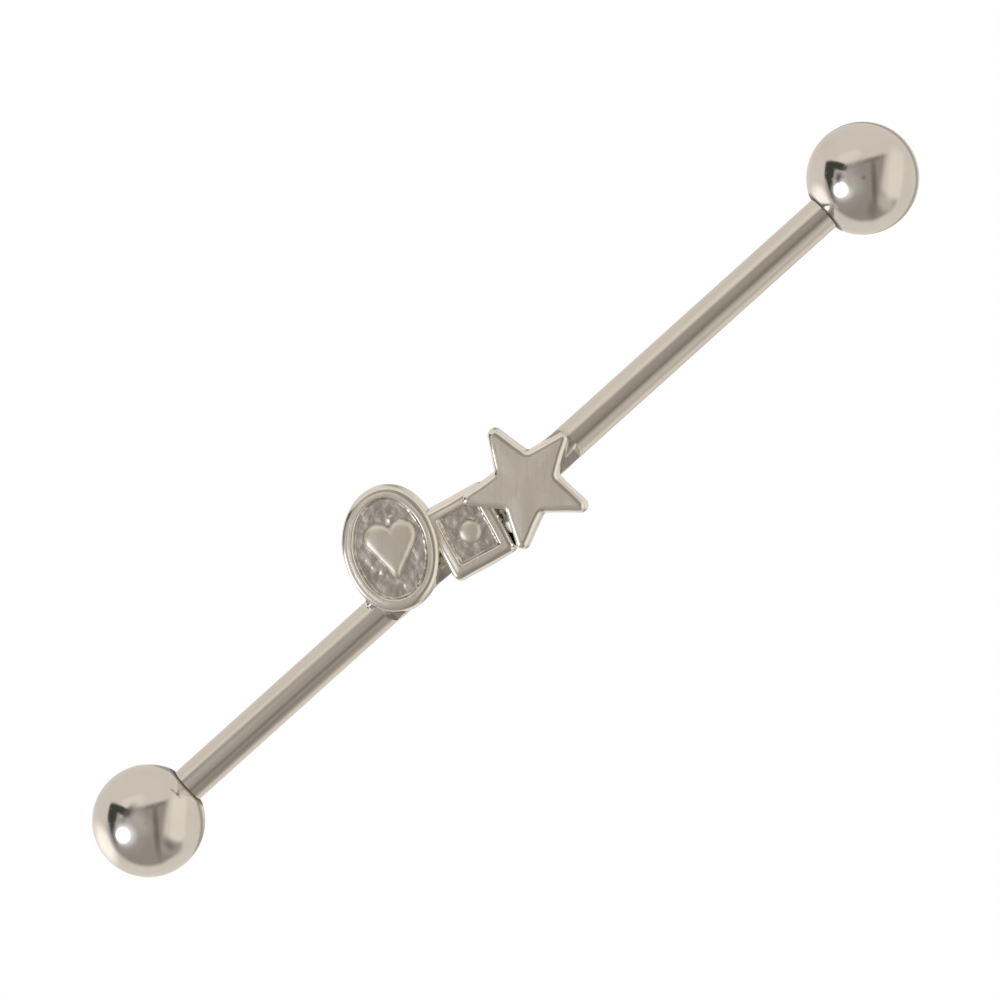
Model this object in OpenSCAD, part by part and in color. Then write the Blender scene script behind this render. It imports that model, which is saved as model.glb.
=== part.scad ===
/* [Bar] */
// Diameter of the bar, 14 gauge
bar_d = 1.6; // [1.4:0.1:1.8]
// Bare length between the flats of the two balls, one and a half inches
bar_length = 38; // [34:1:42]

/* [Screw ends] */
// Crest diameter of the rolled thread
thread_d = 1.55; // [1.3:0.05:1.55]
// Depth of the thread from crest to root
thread_depth = 0.19; // [0.1:0.01:0.25]
// Distance from one crest to the next
thread_pitch = 0.35; // [0.25:0.05:0.5]
// Number of turns on each end
thread_turns = 7; // [4:1:7]

/* [Balls] */
// Diameter of each ball
ball_d = 5; // [4.5:0.1:6]
// Diameter of the flat where the bar enters
ball_flat_d = 2; // [2:0.1:3]
// Gap between the bar and the wall of the ball's hole
screw_gap = 0.05; // [0.03:0.01:0.08]
// Width of the small chamfer at the mouth of the hole
mouth_chamfer = 0.08; // [0.02:0.01:0.15]

/* [Charm] */
// Height of the charm's flat back above the bar's axis
charm_back = 0.72; // [0.6:0.01:0.76]
// How much the back of the square stands in from the other backs
square_back_step = 0.03; // [0.01:0.01:0.04]
// Height of the oval's face above the bar's axis
oval_face = 2; // [1.8:0.05:2.2]
// Height of the square's face above the bar's axis
square_face = 1.68; // [1.5:0.02:1.8]
// Height of the star's face above the bar's axis
star_face = 2.05; // [1.9:0.05:2.2]
// Radius of the rounded edges of the casting
edge_round = 0.2; // [0.1:0.02:0.26]
// Depth of the sunken fields
field_depth = 0.32; // [0.1:0.02:0.5]

/* [Oval] */
// Width of the oval plate
oval_w = 4.4; // [4:0.1:4.8]
// Height of the oval plate
oval_h = 5.7; // [5.2:0.1:6]
// Width of its raised border
oval_border = 0.6; // [0.4:0.02:0.8]
// Place of the oval along the bar
oval_along = -5.15; // [-5.4:0.05:-4.9]
// Place of the oval across the bar
oval_across = 1.75; // [1.5:0.05:2]
// Turn of the oval against the bar
oval_turn = -31; // [-40:1:-20]

/* [Heart] */
// Radius of each lobe of the raised heart
lobe_r = 0.66; // [0.5:0.02:0.7]
// Distance of a lobe's centre from the heart's middle line
lobe_offset = 0.54; // [0.4:0.02:0.6]
// Distance from the line of the lobes down to the middle of the rounded tip
tip_drop = 1.75; // [1.4:0.05:1.9]
// Radius of the rounded tip
tip_r = 0.16; // [0.1:0.02:0.3]
// Height of the line of the lobes over the middle of the oval
lobe_rise = 0.55; // [0.4:0.05:0.8]

/* [Square] */
// Width of the square plate
square_w = 3.2; // [2.8:0.1:3.4]
// Height of the square plate
square_h = 3.5; // [3:0.1:3.8]
// Radius of its corners
square_corner = 0.35; // [0.3:0.05:0.6]
// Width of its raised border
square_border = 0.62; // [0.4:0.02:0.8]
// Diameter of the raised stud in its field
stud_d = 1.1; // [0.8:0.1:1.3]
// Place of the square along the bar
square_along = -2.1; // [-2.4:0.1:-1.8]
// Place of the square across the bar
square_across = 0; // [-0.3:0.1:0.3]
// Turn of the square against the bar
square_turn = -13; // [-20:1:-5]

/* [Star] */
// Distance from the star's centre to the ends of its points
star_r = 2.9; // [2.6:0.05:3.1]
// Distance from the star's centre to the corners between its points
star_inner_r = 1.45; // [1.2:0.05:1.6]
// Radius of the rounded points
point_r = 0.34; // [0.3:0.02:0.5]
// Place of the star along the bar
star_along = 1.15; // [1:0.05:1.4]
// Place of the star across the bar
star_across = -0.1; // [-0.4:0.05:0.2]
// Turn of the star's first point against the bar
star_turn = 9; // [0:1:20]

/* [Solder] */
// Width of the solder bed under the charm
solder_w = 1.3; // [1.1:0.05:1.5]
// Thickness of the solder that wets the bar under the charm
solder_skin = 0.05; // [0.03:0.01:0.08]
// Diameter of the small bead of solder beside the oval
solder_bead_d = 0.6; // [0.4:0.05:0.8]
// Place of the bead along the bar
solder_bead_along = -7.45; // [-7.6:0.05:-7.2]

/* [Hidden] */
steel = "#BDB5A8";
STAR_POINTS = 5;
OVAL_END = -1;
STAR_END = 1;
round_facets = 96;
edge_facets = 16;
outline_facets = 48;

bar_r = bar_d / 2;
half_bar = bar_length / 2;
thread_r = thread_d / 2;
thread_root = thread_r - thread_depth;
thread_from = half_bar + bar_r - thread_root;
thread_end = thread_from + thread_turns * thread_pitch;
end_chamfer = 0.12;

ball_r = ball_d / 2;
flat_from_centre = sqrt(pow(ball_r, 2) - pow(ball_flat_d / 2, 2));
ball_centre = half_bar + flat_from_centre;
hole_r = bar_r + screw_gap;
hole_depth = thread_end + end_chamfer + 0.15 - half_bar;
DRILL_POINT = 0.6;

// The charm is drawn from the front with the bar level: x runs along the bar,
// y across it and z out of it. The oval is at the low end of x.
solder_from = -7.9;
solder_to = 4.5;
solder_ramp = 0.15;

// How far the oval reaches across the bar, inside its rounded edge
oval_reach = norm([oval_w * sin(oval_turn), oval_h * cos(oval_turn)]) / 2;
reach = oval_across + oval_reach - edge_round;
back_core = charm_back + edge_round;
face_core = oval_face - edge_round;
stud_top = square_face - field_depth / 4;

// The jewel lies on its two balls and on the edge of the oval: the bar rolls
// until that edge meets the surface that the balls lie on.
rest_roll = atan2(back_core, reach) + asin((ball_r - edge_round) / norm([reach, back_core]));
front_reach = reach * cos(rest_roll) + face_core * sin(rest_roll) + edge_round;
middle_shift = (front_reach - ball_r) / 2;

// Radius against length, from the end of the screw back to its run-out
function thread_profile() = concat(
    [[0, thread_end + end_chamfer], [thread_root - end_chamfer, thread_end + end_chamfer]],
    [for (i = [2 * thread_turns : -1 : 0])
        [i % 2 == 0 ? thread_root : thread_r, thread_from + i * thread_pitch / 2]]
);
function mirrored(points) = [for (i = [len(points) - 1 : -1 : 0]) [points[i].x, -points[i].y]];

// Radius against length of the wetted stretch, thickest at its middle
function solder_profile() = [
    [bar_r, solder_to],
    [bar_r + 0.7 * solder_skin, solder_to - solder_ramp],
    [bar_r + solder_skin, (solder_from + solder_to) / 2],
    [bar_r + 0.7 * solder_skin, solder_from + solder_ramp],
    [bar_r, solder_from],
];

// The whole bar is one turned piece
module turned_bar() {
    rotate([0, 90, 0])
        rotate_extrude($fn = round_facets)
            polygon(concat(
                thread_profile(),
                [[bar_r, half_bar]],
                solder_profile(),
                [[bar_r, -half_bar]],
                mirrored(thread_profile())
            ));
}

module oval_outline() {
    scale([oval_w / 2, oval_h / 2])
        circle(r = 1, $fn = outline_facets);
}

module heart_outline() {
    for (side = [-1, 1])
        hull() {
            translate([side * lobe_offset, lobe_rise])
                circle(r = lobe_r, $fn = outline_facets);
            translate([0, lobe_rise - tip_drop])
                circle(r = tip_r, $fn = outline_facets);
        }
}

module square_outline() {
    offset(r = square_corner, $fn = outline_facets)
        square([square_w - 2 * square_corner, square_h - 2 * square_corner], center = true);
}

module star_outline() {
    step = 180 / STAR_POINTS;
    offset(r = point_r, $fn = outline_facets)
        polygon([for (i = [0 : 2 * STAR_POINTS - 1])
            (i % 2 == 0 ? star_r - point_r : star_inner_r - point_r)
                * [cos(i * step), sin(i * step)]]);
}

// A flat casting with rounded edges, from its back up to its face, from an outline
module cast_plate(back, face) {
    minkowski() {
        translate([0, 0, back + edge_round])
            linear_extrude(face - back - 2 * edge_round)
                offset(delta = -edge_round)
                    children();
        sphere(r = edge_round, $fn = edge_facets);
    }
}

// The space over a field that is sunken in a face, a border's width inside an outline
module sunken_field(face, border) {
    translate([0, 0, face - field_depth])
        linear_extrude(2 * field_depth)
            offset(delta = -border)
                children();
}

// The oval plate carries a raised heart in its sunken field
module oval_plate() {
    translate([oval_along, oval_across, 0])
        rotate([0, 0, oval_turn]) {
            difference() {
                cast_plate(charm_back, oval_face)
                    oval_outline();
                sunken_field(oval_face, oval_border)
                    oval_outline();
            }
            translate([0, 0, back_core])
                linear_extrude(oval_face - back_core)
                    heart_outline();
        }
}

module square_plate() {
    translate([square_along, square_across, 0])
        rotate([0, 0, square_turn]) {
            difference() {
                cast_plate(charm_back + square_back_step, square_face)
                    square_outline();
                sunken_field(square_face, square_border)
                    square_outline();
            }
            translate([0, 0, back_core])
                cylinder(d = stud_d, h = stud_top - back_core, $fn = outline_facets);
        }
}

module star() {
    translate([star_along, star_across, 0])
        rotate([0, 0, star_turn])
            cast_plate(charm_back, star_face)
                star_outline();
}

// The fillet of solder that carries the charm's back on the bar
module solder_bed() {
    bed_from = solder_from + 3 * solder_ramp;
    bed_to = solder_to - 3 * solder_ramp;
    translate([bed_from, 0, 0])
        rotate([90, 0, 90])
            linear_extrude(bed_to - bed_from)
                polygon([
                    [-solder_w / 2, charm_back + 0.05],
                    [-solder_w / 2 + 0.12, charm_back - 0.22],
                    [solder_w / 2 - 0.12, charm_back - 0.22],
                    [solder_w / 2, charm_back + 0.05],
                ]);
}

module solder_bead() {
    translate([solder_bead_along, bar_r * sin(45), bar_r * cos(45)])
        sphere(d = solder_bead_d, $fn = outline_facets);
}

// Turns the jewel from its front view to the way it lies
module laid_down() {
    translate([0, middle_shift, ball_r])
        rotate([rest_roll, 0, 0])
            rotate([0, 0, 180])
                children();
}

module bar_with_charm() {
    color(steel)
        laid_down() {
            turned_bar();
            solder_bed();
            solder_bead();
            oval_plate();
            square_plate();
            star();
        }
}

module end_ball(end) {
    color(steel)
        laid_down()
            translate([end * ball_centre, 0, 0])
                rotate([0, end * 90, 0])
                    difference() {
                        sphere(r = ball_r, $fn = round_facets);
                        translate([0, 0, -flat_from_centre - ball_r / 2])
                            cube([ball_d, ball_d, ball_r], center = true);
                        translate([0, 0, -ball_r])
                            cylinder(r = hole_r, h = ball_r - flat_from_centre + hole_depth, $fn = round_facets);
                        translate([0, 0, hole_depth - flat_from_centre])
                            cylinder(r1 = hole_r, r2 = 0, h = DRILL_POINT * hole_r, $fn = round_facets);
                        translate([0, 0, -flat_from_centre])
                            cylinder(r1 = hole_r + mouth_chamfer, r2 = hole_r, h = mouth_chamfer, $fn = round_facets);
                    }
}

bar_with_charm();
end_ball(OVAL_END);  // ball_oval_end
end_ball(STAR_END);  // ball_star_end
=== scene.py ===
"""Looks of an industrial barbell: a drawn steel bar, two screw-on balls and a soldered cast charm.

Lengths are in millimetres and angles in degrees until a mesh is placed, when its points become metres in the
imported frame. The jewel is laid out from its front: u runs along the bar towards the star's ball, v across it
towards the top of the oval, and w out of the charm's faces.
"""

from __future__ import annotations

import logging
import math
from abc import ABC, abstractmethod
from dataclasses import dataclass
from enum import Enum, IntEnum
from typing import Any, Callable, Sequence

import bpy
from mathutils import Matrix, Vector, noise

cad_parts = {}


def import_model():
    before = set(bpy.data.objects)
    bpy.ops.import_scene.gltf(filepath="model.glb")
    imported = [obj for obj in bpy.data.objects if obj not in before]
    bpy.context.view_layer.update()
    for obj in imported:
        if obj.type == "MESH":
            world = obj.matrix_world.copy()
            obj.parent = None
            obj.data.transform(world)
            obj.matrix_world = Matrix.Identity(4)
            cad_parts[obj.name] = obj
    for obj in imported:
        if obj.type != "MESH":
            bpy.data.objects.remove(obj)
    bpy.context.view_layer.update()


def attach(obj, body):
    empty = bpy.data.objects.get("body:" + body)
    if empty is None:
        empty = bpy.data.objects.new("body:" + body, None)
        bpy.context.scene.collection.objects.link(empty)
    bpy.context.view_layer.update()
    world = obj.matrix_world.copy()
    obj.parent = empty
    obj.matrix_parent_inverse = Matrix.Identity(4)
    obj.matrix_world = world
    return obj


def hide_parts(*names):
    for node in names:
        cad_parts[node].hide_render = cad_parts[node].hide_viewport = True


LOG = logging.getLogger("barbell")
MM = 0.001
NOISE_SEED = 3
Colour = tuple[float, float, float]
Point = tuple[float, float]
WHITE: Colour = (1.0, 1.0, 1.0)


class Host(Enum):
    """What a piece of the looks belongs to: its body, the solid it stands for and its material slot."""

    BAR = ("bar", "bar_with_charm", "bar_steel")
    OVAL_BALL = ("oval_ball", "ball_oval_end", "ball_steel")
    STAR_BALL = ("star_ball", "ball_star_end", "ball_steel")

    def take(self, piece: bpy.types.Object) -> None:
        """Hands a finished piece to its body and hides the solid that it stands for.

        Args:
            piece: The finished mesh object, already in place.
        """
        body, node, slot = self.value
        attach(piece, body)
        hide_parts(node)
        LOG.info("%s: %d faces, rides on %s", piece.name, len(piece.data.polygons), body)


class Signal:
    """An output socket in a node tree. Sums on it add Math nodes to the tree."""

    def __init__(self, graph: Graph, socket: bpy.types.NodeSocket | None) -> None:
        """Keeps the graph and the socket, which an output node hasn't got."""
        self.graph = graph
        self.socket = socket

    def _math(self, operation: str, first: Any, second: Any = 0.0) -> Signal:
        """Gives one Math node's result from numbers or signals."""
        return self.graph.add("ShaderNodeMath", {"operation": operation}, {0: first, 1: second})

    def __add__(self, other: Any) -> Signal:
        """Sum."""
        return self._math("ADD", self, other)

    __radd__ = __add__

    def __sub__(self, other: Any) -> Signal:
        """Difference."""
        return self._math("SUBTRACT", self, other)

    def __rsub__(self, other: Any) -> Signal:
        """Difference from a number."""
        return self._math("SUBTRACT", other, self)

    def __mul__(self, other: Any) -> Signal:
        """Product."""
        return self._math("MULTIPLY", self, other)

    __rmul__ = __mul__

    def __pow__(self, other: Any) -> Signal:
        """Power."""
        return self._math("POWER", self, other)

    def __abs__(self) -> Signal:
        """Size without sign."""
        return self._math("ABSOLUTE", self)

    def step(self, low: float, high: float) -> Signal:
        """Rises smoothly from 0 to 1, or falls where low is above high.

        Args:
            low: The value that gives 0.
            high: The value that gives 1.

        Returns:
            The smooth step.
        """
        settings = {"interpolation_type": "SMOOTHSTEP"}
        inputs = {"Value": self, "From Min": low, "From Max": high}
        return self.graph.add("ShaderNodeMapRange", settings, inputs)


class Graph:
    """A node tree that grows by expressions."""

    def __init__(self, tree: bpy.types.NodeTree) -> None:
        """Clears a material's or the world's tree."""
        self.tree = tree
        tree.nodes.clear()

    def add(
        self,
        kind: str,
        settings: dict[str, Any] | None = None,
        inputs: dict[str | int, Any] | None = None,
        output: str | int = 0,
    ) -> Signal:
        """Adds a node, sets it up and feeds it.

        Args:
            kind: The node's type.
            settings: The node's own settings, set before its sockets.
            inputs: Values or signals by socket name or number.
            output: The output to hand back.

        Returns:
            The chosen output as a signal.
        """
        node = self.tree.nodes.new(kind)
        for name, value in (settings or {}).items():
            setattr(node, name, value)
        for name, value in (inputs or {}).items():
            if isinstance(value, Signal):
                self.tree.links.new(value.socket, node.inputs[name])
            else:
                node.inputs[name].default_value = value
        return Signal(self, node.outputs[output] if len(node.outputs) else None)

    def vector(self, operation: str, first: Any, second: Any, output: str | int = 0) -> Signal:
        """Gives one Vector Math node's result. The second input is a number for SCALE."""
        inputs = {0: first, (3 if operation == "SCALE" else 1): second}
        return self.add("ShaderNodeVectorMath", {"operation": operation}, inputs, output)

    def dot(self, first: Any, second: Any) -> Signal:
        """Length of one vector along another."""
        return self.vector("DOT_PRODUCT", first, second, 1)

    def blend(self, share: Any, low: Any, high: Any) -> Signal:
        """Mixes two colours, each three numbers or a signal, by the share of the second."""
        low, high = (c if isinstance(c, Signal) else (*c, 1.0) for c in (low, high))
        return self.add("ShaderNodeMix", {"data_type": "RGBA"}, {0: share, 6: low, 7: high}, 2)

    def speckle(self, place: Signal, scale: float, detail: float = 2.0) -> Signal:
        """Gives noise about 0.5 at a place, with a scale in grains to the millimetre."""
        inputs = {"Vector": place, "Scale": scale, "Detail": detail}
        return self.add("ShaderNodeTexNoise", {"normalize": True}, inputs)

    def place(self) -> Signal:
        """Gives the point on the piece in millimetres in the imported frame."""
        return self.vector("SCALE", self.add("ShaderNodeTexCoord", output="Object"), 1.0 / MM)

    def glow(self, light: Colour, cover: Any = 1.0) -> Signal:
        """Adds a surface that only gives light.

        Args:
            light: Colour and brightness of the light.
            cover: How much of the surface there is.

        Returns:
            The shader.
        """
        clear = self.add("ShaderNodeBsdfTransparent")
        shine = self.add("ShaderNodeEmission", None, {"Color": (*light, 1.0)})
        return self.add("ShaderNodeMixShader", None, {0: cover, 1: clear, 2: shine})

    def bump(self, height: Signal, distance: float) -> Signal:
        """Gives the bumped normal, where a height of 1 stands for a distance in millimetres."""
        inputs = {"Height": height, "Distance": distance * MM, "Strength": 1.0}
        return self.add("ShaderNodeBump", None, inputs)


def surface(name: str, shade: Callable[[Graph], Signal]) -> bpy.types.Material:
    """Makes a material.

    Args:
        name: Its name.
        shade: Adds its nodes to a graph and gives its shader.

    Returns:
        The new material.
    """
    made = bpy.data.materials.new(name)
    made.use_nodes = True
    graph = Graph(made.node_tree)
    graph.add("ShaderNodeOutputMaterial", None, {"Surface": shade(graph)})
    return made


def put(name: str, data: bpy.types.ID) -> bpy.types.Object:
    """Makes the object of a mesh, a lamp or a camera and puts it in the scene.

    Args:
        name: The object's name.
        data: Its mesh, lamp or camera.

    Returns:
        The new object.
    """
    made = bpy.data.objects.new(name, data)
    bpy.context.scene.collection.objects.link(made)
    return made


def staged_sheet(
    name: str, corners: Sequence[Sequence[float]], shade: Callable[[Graph], Signal]
) -> bpy.types.Object:
    """Makes a four-cornered sheet for the studio.

    Args:
        name: The sheet's name.
        corners: Its corners in metres, in order.
        shade: Adds its nodes to a graph and gives its shader.

    Returns:
        The new sheet.
    """
    mesh = bpy.data.meshes.new(name)
    mesh.from_pydata(corners, [], [(0, 1, 2, 3)])
    mesh.materials.append(surface(name, shade))
    sheet = put(name, mesh)
    return sheet


@dataclass(frozen=True)
class Lie:
    """How the jewel lies: it is rolled about the bar until the oval's edge meets the floor.

    Args:
        roll: The roll about the bar.
        shift: How far the bar lies behind the middle of the box.
        height: The height of the bar's axis over the floor.
    """

    roll: float
    shift: float
    height: float

    @classmethod
    def resting(cls, oval: CastPlate, ball_r: float) -> Lie:
        """Finds the way in which the jewel rests on its two balls and on the oval's edge.

        Args:
            oval: The oval plate.
            ball_r: The radius of the balls.

        Returns:
            The lie.
        """
        turn = math.radians(oval.seat.turn)
        size = oval.outline
        half = math.hypot(size.width * math.sin(turn), size.height * math.cos(turn)) / 2
        reach = oval.seat.across + half - oval.edge_round
        core = oval.back + oval.edge_round
        roll = math.atan2(core, reach) + math.asin((ball_r - oval.edge_round) / math.hypot(reach, core))
        face = oval.face - oval.edge_round
        front = reach * math.cos(roll) + face * math.sin(roll) + oval.edge_round
        return cls(math.degrees(roll), (front - ball_r) / 2, ball_r)

    @property
    def u(self) -> Vector:
        """Direction along the bar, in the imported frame."""
        return Vector((-1.0, 0.0, 0.0))

    @property
    def v(self) -> Vector:
        """Direction across the bar."""
        roll = math.radians(self.roll)
        return Vector((0.0, -math.cos(roll), -math.sin(roll)))

    @property
    def w(self) -> Vector:
        """Direction out of the charm's faces."""
        roll = math.radians(self.roll)
        return Vector((0.0, -math.sin(roll), math.cos(roll)))

    def at(self, point: Vector) -> Vector:
        """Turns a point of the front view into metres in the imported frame."""
        middle = Vector((0.0, self.shift, self.height))
        return (middle + self.u * point.x + self.v * point.y + self.w * point.z) * MM


class Skin:
    """Points and faces of one closed mesh, made of rings of points that are joined one after the other."""

    def __init__(self, rings: Sequence[Sequence[Vector]], kinds: Sequence[int] | None = None) -> None:
        """Joins the rings.

        Args:
            rings: The rings in the front view, each of the same number of points, or of one at the ends.
            kinds: The number of each band's finish, or None where the whole mesh has one finish.
        """
        self.points: list[Vector] = []
        self.faces: list[tuple[int, ...]] = []
        self.kinds: list[int] = []
        numbers = []
        for ring in rings:
            numbers.append(range(len(self.points), len(self.points) + len(ring)))
            self.points.extend(ring)
        for one, two, kind in zip(numbers, numbers[1:], kinds or [0] * len(rings)):
            count = max(len(one), len(two))
            for i in range(count):
                j = (i + 1) % count
                corners = (one[i % len(one)], one[j % len(one)], two[j % len(two)], two[i % len(two)])
                self.faces.append(tuple(dict.fromkeys(corners)))
                self.kinds.append(kind)

    def piece(self, name: str, lie: Lie, finishes: Sequence[Finish]) -> bpy.types.Object:
        """Makes the object, with smooth outward faces.

        Args:
            name: The name of the piece.
            lie: How the jewel lies.
            finishes: The finishes that the faces number.

        Returns:
            The new object.
        """
        mesh = bpy.data.meshes.new(name)
        mesh.from_pydata([lie.at(p) for p in self.points], [], self.faces)
        mesh.polygons.foreach_set("material_index", self.kinds)
        mesh.polygons.foreach_set("use_smooth", [True] * len(self.faces))
        if self._inside_out(mesh):
            mesh.flip_normals()
        mesh.update()
        for finish in finishes:
            mesh.materials.append(finish.material())
        return put(name, mesh)

    @staticmethod
    def _inside_out(mesh: bpy.types.Mesh) -> bool:
        """Tells by the sign of its volume whether a closed mesh faces inwards.

        Args:
            mesh: The mesh.

        Returns:
            Whether it does.
        """
        mesh.calc_loop_triangles()
        at = [v.co for v in mesh.vertices]
        volume = sum(at[a].dot(at[b].cross(at[c])) for a, b, c in (t.vertices for t in mesh.loop_triangles))
        return volume < 0.0


@dataclass(frozen=True, kw_only=True)
class Finish(ABC):
    """A metal surface that a piece is given, made of nodes when it is first asked for.

    Args:
        name: The material's name.
        colour: The metal's own colour.
        rough: Its lowest roughness.
    """

    name: str
    colour: Colour
    rough: float

    def material(self) -> bpy.types.Material:
        """Gives the material, and makes it the first time."""
        return bpy.data.materials.get(self.name) or surface(self.name, self._shade)

    def tinted(self, share: float) -> Colour:
        """Gives the metal's own colour, darker by a share."""
        return tuple(share * c for c in self.colour)

    def _shade(self, graph: Graph) -> Signal:
        """Adds the finish's nodes and gives the metal's shader."""
        return graph.add("ShaderNodeBsdfPrincipled", None, {"Metallic": 1.0, **self.dress(graph)})

    @abstractmethod
    def dress(self, graph: Graph) -> dict[str, Any]:
        """Adds the finish's nodes and gives what goes into the shader's sockets, by name."""


@dataclass(frozen=True, kw_only=True)
class MirrorSteel(Finish):
    """Buffed steel of the balls and edges, with faint smudges and hair scratches.

    Args:
        smudge: How much rougher a smudge is.
    """

    name: str = "mirror_steel"
    colour: Colour = (0.76, 0.73, 0.69)
    rough: float = 0.055
    smudge: float = 0.1

    def dress(self, graph: Graph) -> dict[str, Any]:
        """Adds cloudy smudges and two sets of hair scratches.

        Args:
            graph: The material's graph.

        Returns:
            What goes into the shader's sockets, by name.
        """
        place = graph.place()
        cloud = graph.speckle(place, 0.55, 3.0).step(0.42, 0.72)
        hairs = [
            graph.speckle(graph.vector("MULTIPLY", place, stretch), 1.0, 1.0).step(0.66, 0.74)
            for stretch in ((0.5, 9.0, 9.0), (8.0, 0.6, 6.0))
        ]
        worn = hairs[0] * 0.6 + hairs[1] * 0.4
        return {
            "Base Color": graph.blend(cloud, self.colour, self.tinted(0.95)),
            "Roughness": cloud * self.smudge + worn * 0.08 + self.rough,
            "Normal": graph.bump(worn, 0.0012),
        }


@dataclass(frozen=True, kw_only=True)
class DrawnSteel(Finish):
    """Steel of the bar, drawn and buffed lengthwise."""

    name: str = "drawn_steel"
    colour: Colour = (0.81, 0.78, 0.72)
    rough: float = 0.1

    def dress(self, graph: Graph) -> dict[str, Any]:
        """Adds fine lines along the bar and slow changes of gloss.

        Args:
            graph: The material's graph.

        Returns:
            What goes into the shader's sockets, by name.
        """
        place = graph.place()
        lines = graph.speckle(graph.vector("MULTIPLY", place, (0.1, 9.0, 9.0)), 1.0, 3.0)
        fine = graph.speckle(graph.vector("MULTIPLY", place, (0.35, 26.0, 26.0)), 1.0, 1.0)
        cloud = graph.speckle(place, 0.4, 2.0)
        bright = lines.step(0.3, 0.7) * 0.6 + cloud * 0.4
        return {
            "Base Color": graph.blend(bright, self.tinted(0.9), self.colour),
            "Roughness": lines * 0.12 + cloud * 0.08 + self.rough,
            "Normal": graph.bump(lines * 0.6 + fine * 0.4, 0.0025),
        }


@dataclass(frozen=True, kw_only=True)
class CastSteel(Finish):
    """Hand-polished face of the casting.

    Args:
        lie: How the jewel lies, which gives the direction of the polishing lines.
        low: Height over the bar's axis at which the painted shade of the recesses is darkest.
        high: Height above which there is no painted shade.
        slant: Turn of the polishing lines against the bar.
    """

    lie: Lie
    low: float
    high: float
    colour: Colour = (0.92, 0.88, 0.8)
    rough: float = 0.38
    slant: float = 48.0

    def dress(self, graph: Graph) -> dict[str, Any]:
        """Adds polishing lines slanting over the bar, soft dents and painted shade in the recesses.

        Args:
            graph: The material's graph.

        Returns:
            What goes into the shader's sockets, by name.
        """
        place = graph.place()
        height = graph.dot(place, tuple(self.lie.w)) - self.lie.at(Vector()).dot(self.lie.w) / MM
        # Painted shade in the recesses: the colour darkens towards the height of the field, and the same share
        # makes the steel there a little rougher.
        unshaded = height.step(self.low, self.high)
        slanted = Matrix.Rotation(math.radians(self.slant), 3, self.lie.w)
        along, across = (graph.dot(place, tuple(slanted @ d)) for d in (self.lie.u, self.lie.v))
        strokes = graph.add("ShaderNodeCombineXYZ", None, {0: along * 0.5, 1: across * 8.0, 2: height * 3.0})
        lines = graph.speckle(strokes, 1.0, 3.0)
        dents = graph.speckle(place, 0.9, 2.0)
        pits = graph.speckle(place, 7.0, 1.0).step(0.7, 0.8)
        bright = unshaded * 0.8 + lines * 0.3 - pits * 0.3
        return {
            "Base Color": graph.blend(bright, self.tinted(0.72), self.colour),
            "Roughness": lines * 0.14 + dents * 0.1 + (1.0 - unshaded) * 0.1 + self.rough,
            "Normal": graph.bump(lines * 0.3 + dents * 3.6 - pits * 0.2, 0.018),
        }


@dataclass(frozen=True, kw_only=True)
class GrainySteel(Finish):
    """Sunken field or back of the casting, left as the mould gave it.

    Args:
        grain: Grains to the millimetre.
        relief: Height of the grain.
    """

    colour: Colour = (0.84, 0.81, 0.76)
    rough: float = 0.24
    grain: float = 2.0
    relief: float = 0.16

    def dress(self, graph: Graph) -> dict[str, Any]:
        """Adds the grain of the mould.

        Args:
            graph: The material's graph.

        Returns:
            What goes into the shader's sockets, by name.
        """
        place = graph.place()
        grain = graph.speckle(place, self.grain, 1.6)
        hollow = grain.step(0.62, 0.35)
        return {
            "Base Color": graph.blend(hollow, self.colour, self.tinted(0.7)),
            "Roughness": hollow * 0.15 + self.rough,
            "Normal": graph.bump(grain, self.relief),
        }


@dataclass(frozen=True, kw_only=True)
class FacedSteelWithPaintedShade(Finish):
    """Flat and hole of a ball and the ring round the flat, as the lathe left them, with painted shade: the
    steel is darkened near the bar's axis, most in the lathe marks.

    Args:
        lie: How the jewel lies, which gives the bar's axis.
        painted_shade_colour: Darkest colour of the painted shade, in the lathe marks.
        marks: Tool marks to the millimetre.
        fade: Distance from the bar's axis at which the painted shade and the lathe finish have half gone.
        fading: How far on each side of that distance it fades.
        unshaded: The buffed steel without painted shade that it fades into.
    """

    lie: Lie
    name: str = "faced_steel_painted_shade"
    # The dark colour of the faced steel is painted shade.
    colour: Colour = (0.3, 0.28, 0.25)
    painted_shade_colour: Colour = (0.1, 0.095, 0.085)
    rough: float = 0.3
    marks: float = 14.0
    fade: float = 1.12
    fading: float = 0.1
    unshaded: MirrorSteel = MirrorSteel()

    def dress(self, graph: Graph) -> dict[str, Any]:
        """Adds rings round the bar's axis, and painted shade near it.

        Args:
            graph: The material's graph.

        Returns:
            What goes into the shader's sockets, by name.
        """
        place = graph.place()
        centre = self.lie.at(Vector()) / MM
        across, up = (graph.dot(place, tuple(d)) - centre.dot(d) for d in (self.lie.v, self.lie.w))
        out = (across * across + up * up) ** 0.5
        marks = graph.speckle(graph.add("ShaderNodeCombineXYZ", None, {0: out * self.marks}), 1.0, 2.0)
        cloud = graph.speckle(place, 2.0, 3.0)
        # Painted shade: this share darkens the steel near the bar's axis, at the joint and in the hole; it
        # also brings in the lathe's roughness and marks.
        faced_and_painted_shade = out.step(self.fade + self.fading, self.fade - self.fading)
        # The painted shade's two dark colours, mixed by the lathe marks.
        metal = graph.blend(marks * 0.7 + cloud * 0.5, self.painted_shade_colour, self.colour)
        dull = marks * 0.15 + cloud * 0.2 + (self.rough - self.unshaded.rough)
        return {
            "Base Color": graph.blend(faced_and_painted_shade, self.unshaded.colour, metal),
            "Roughness": faced_and_painted_shade * dull + self.unshaded.rough,
            "Normal": graph.bump(marks * faced_and_painted_shade, 0.006),
        }


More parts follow.
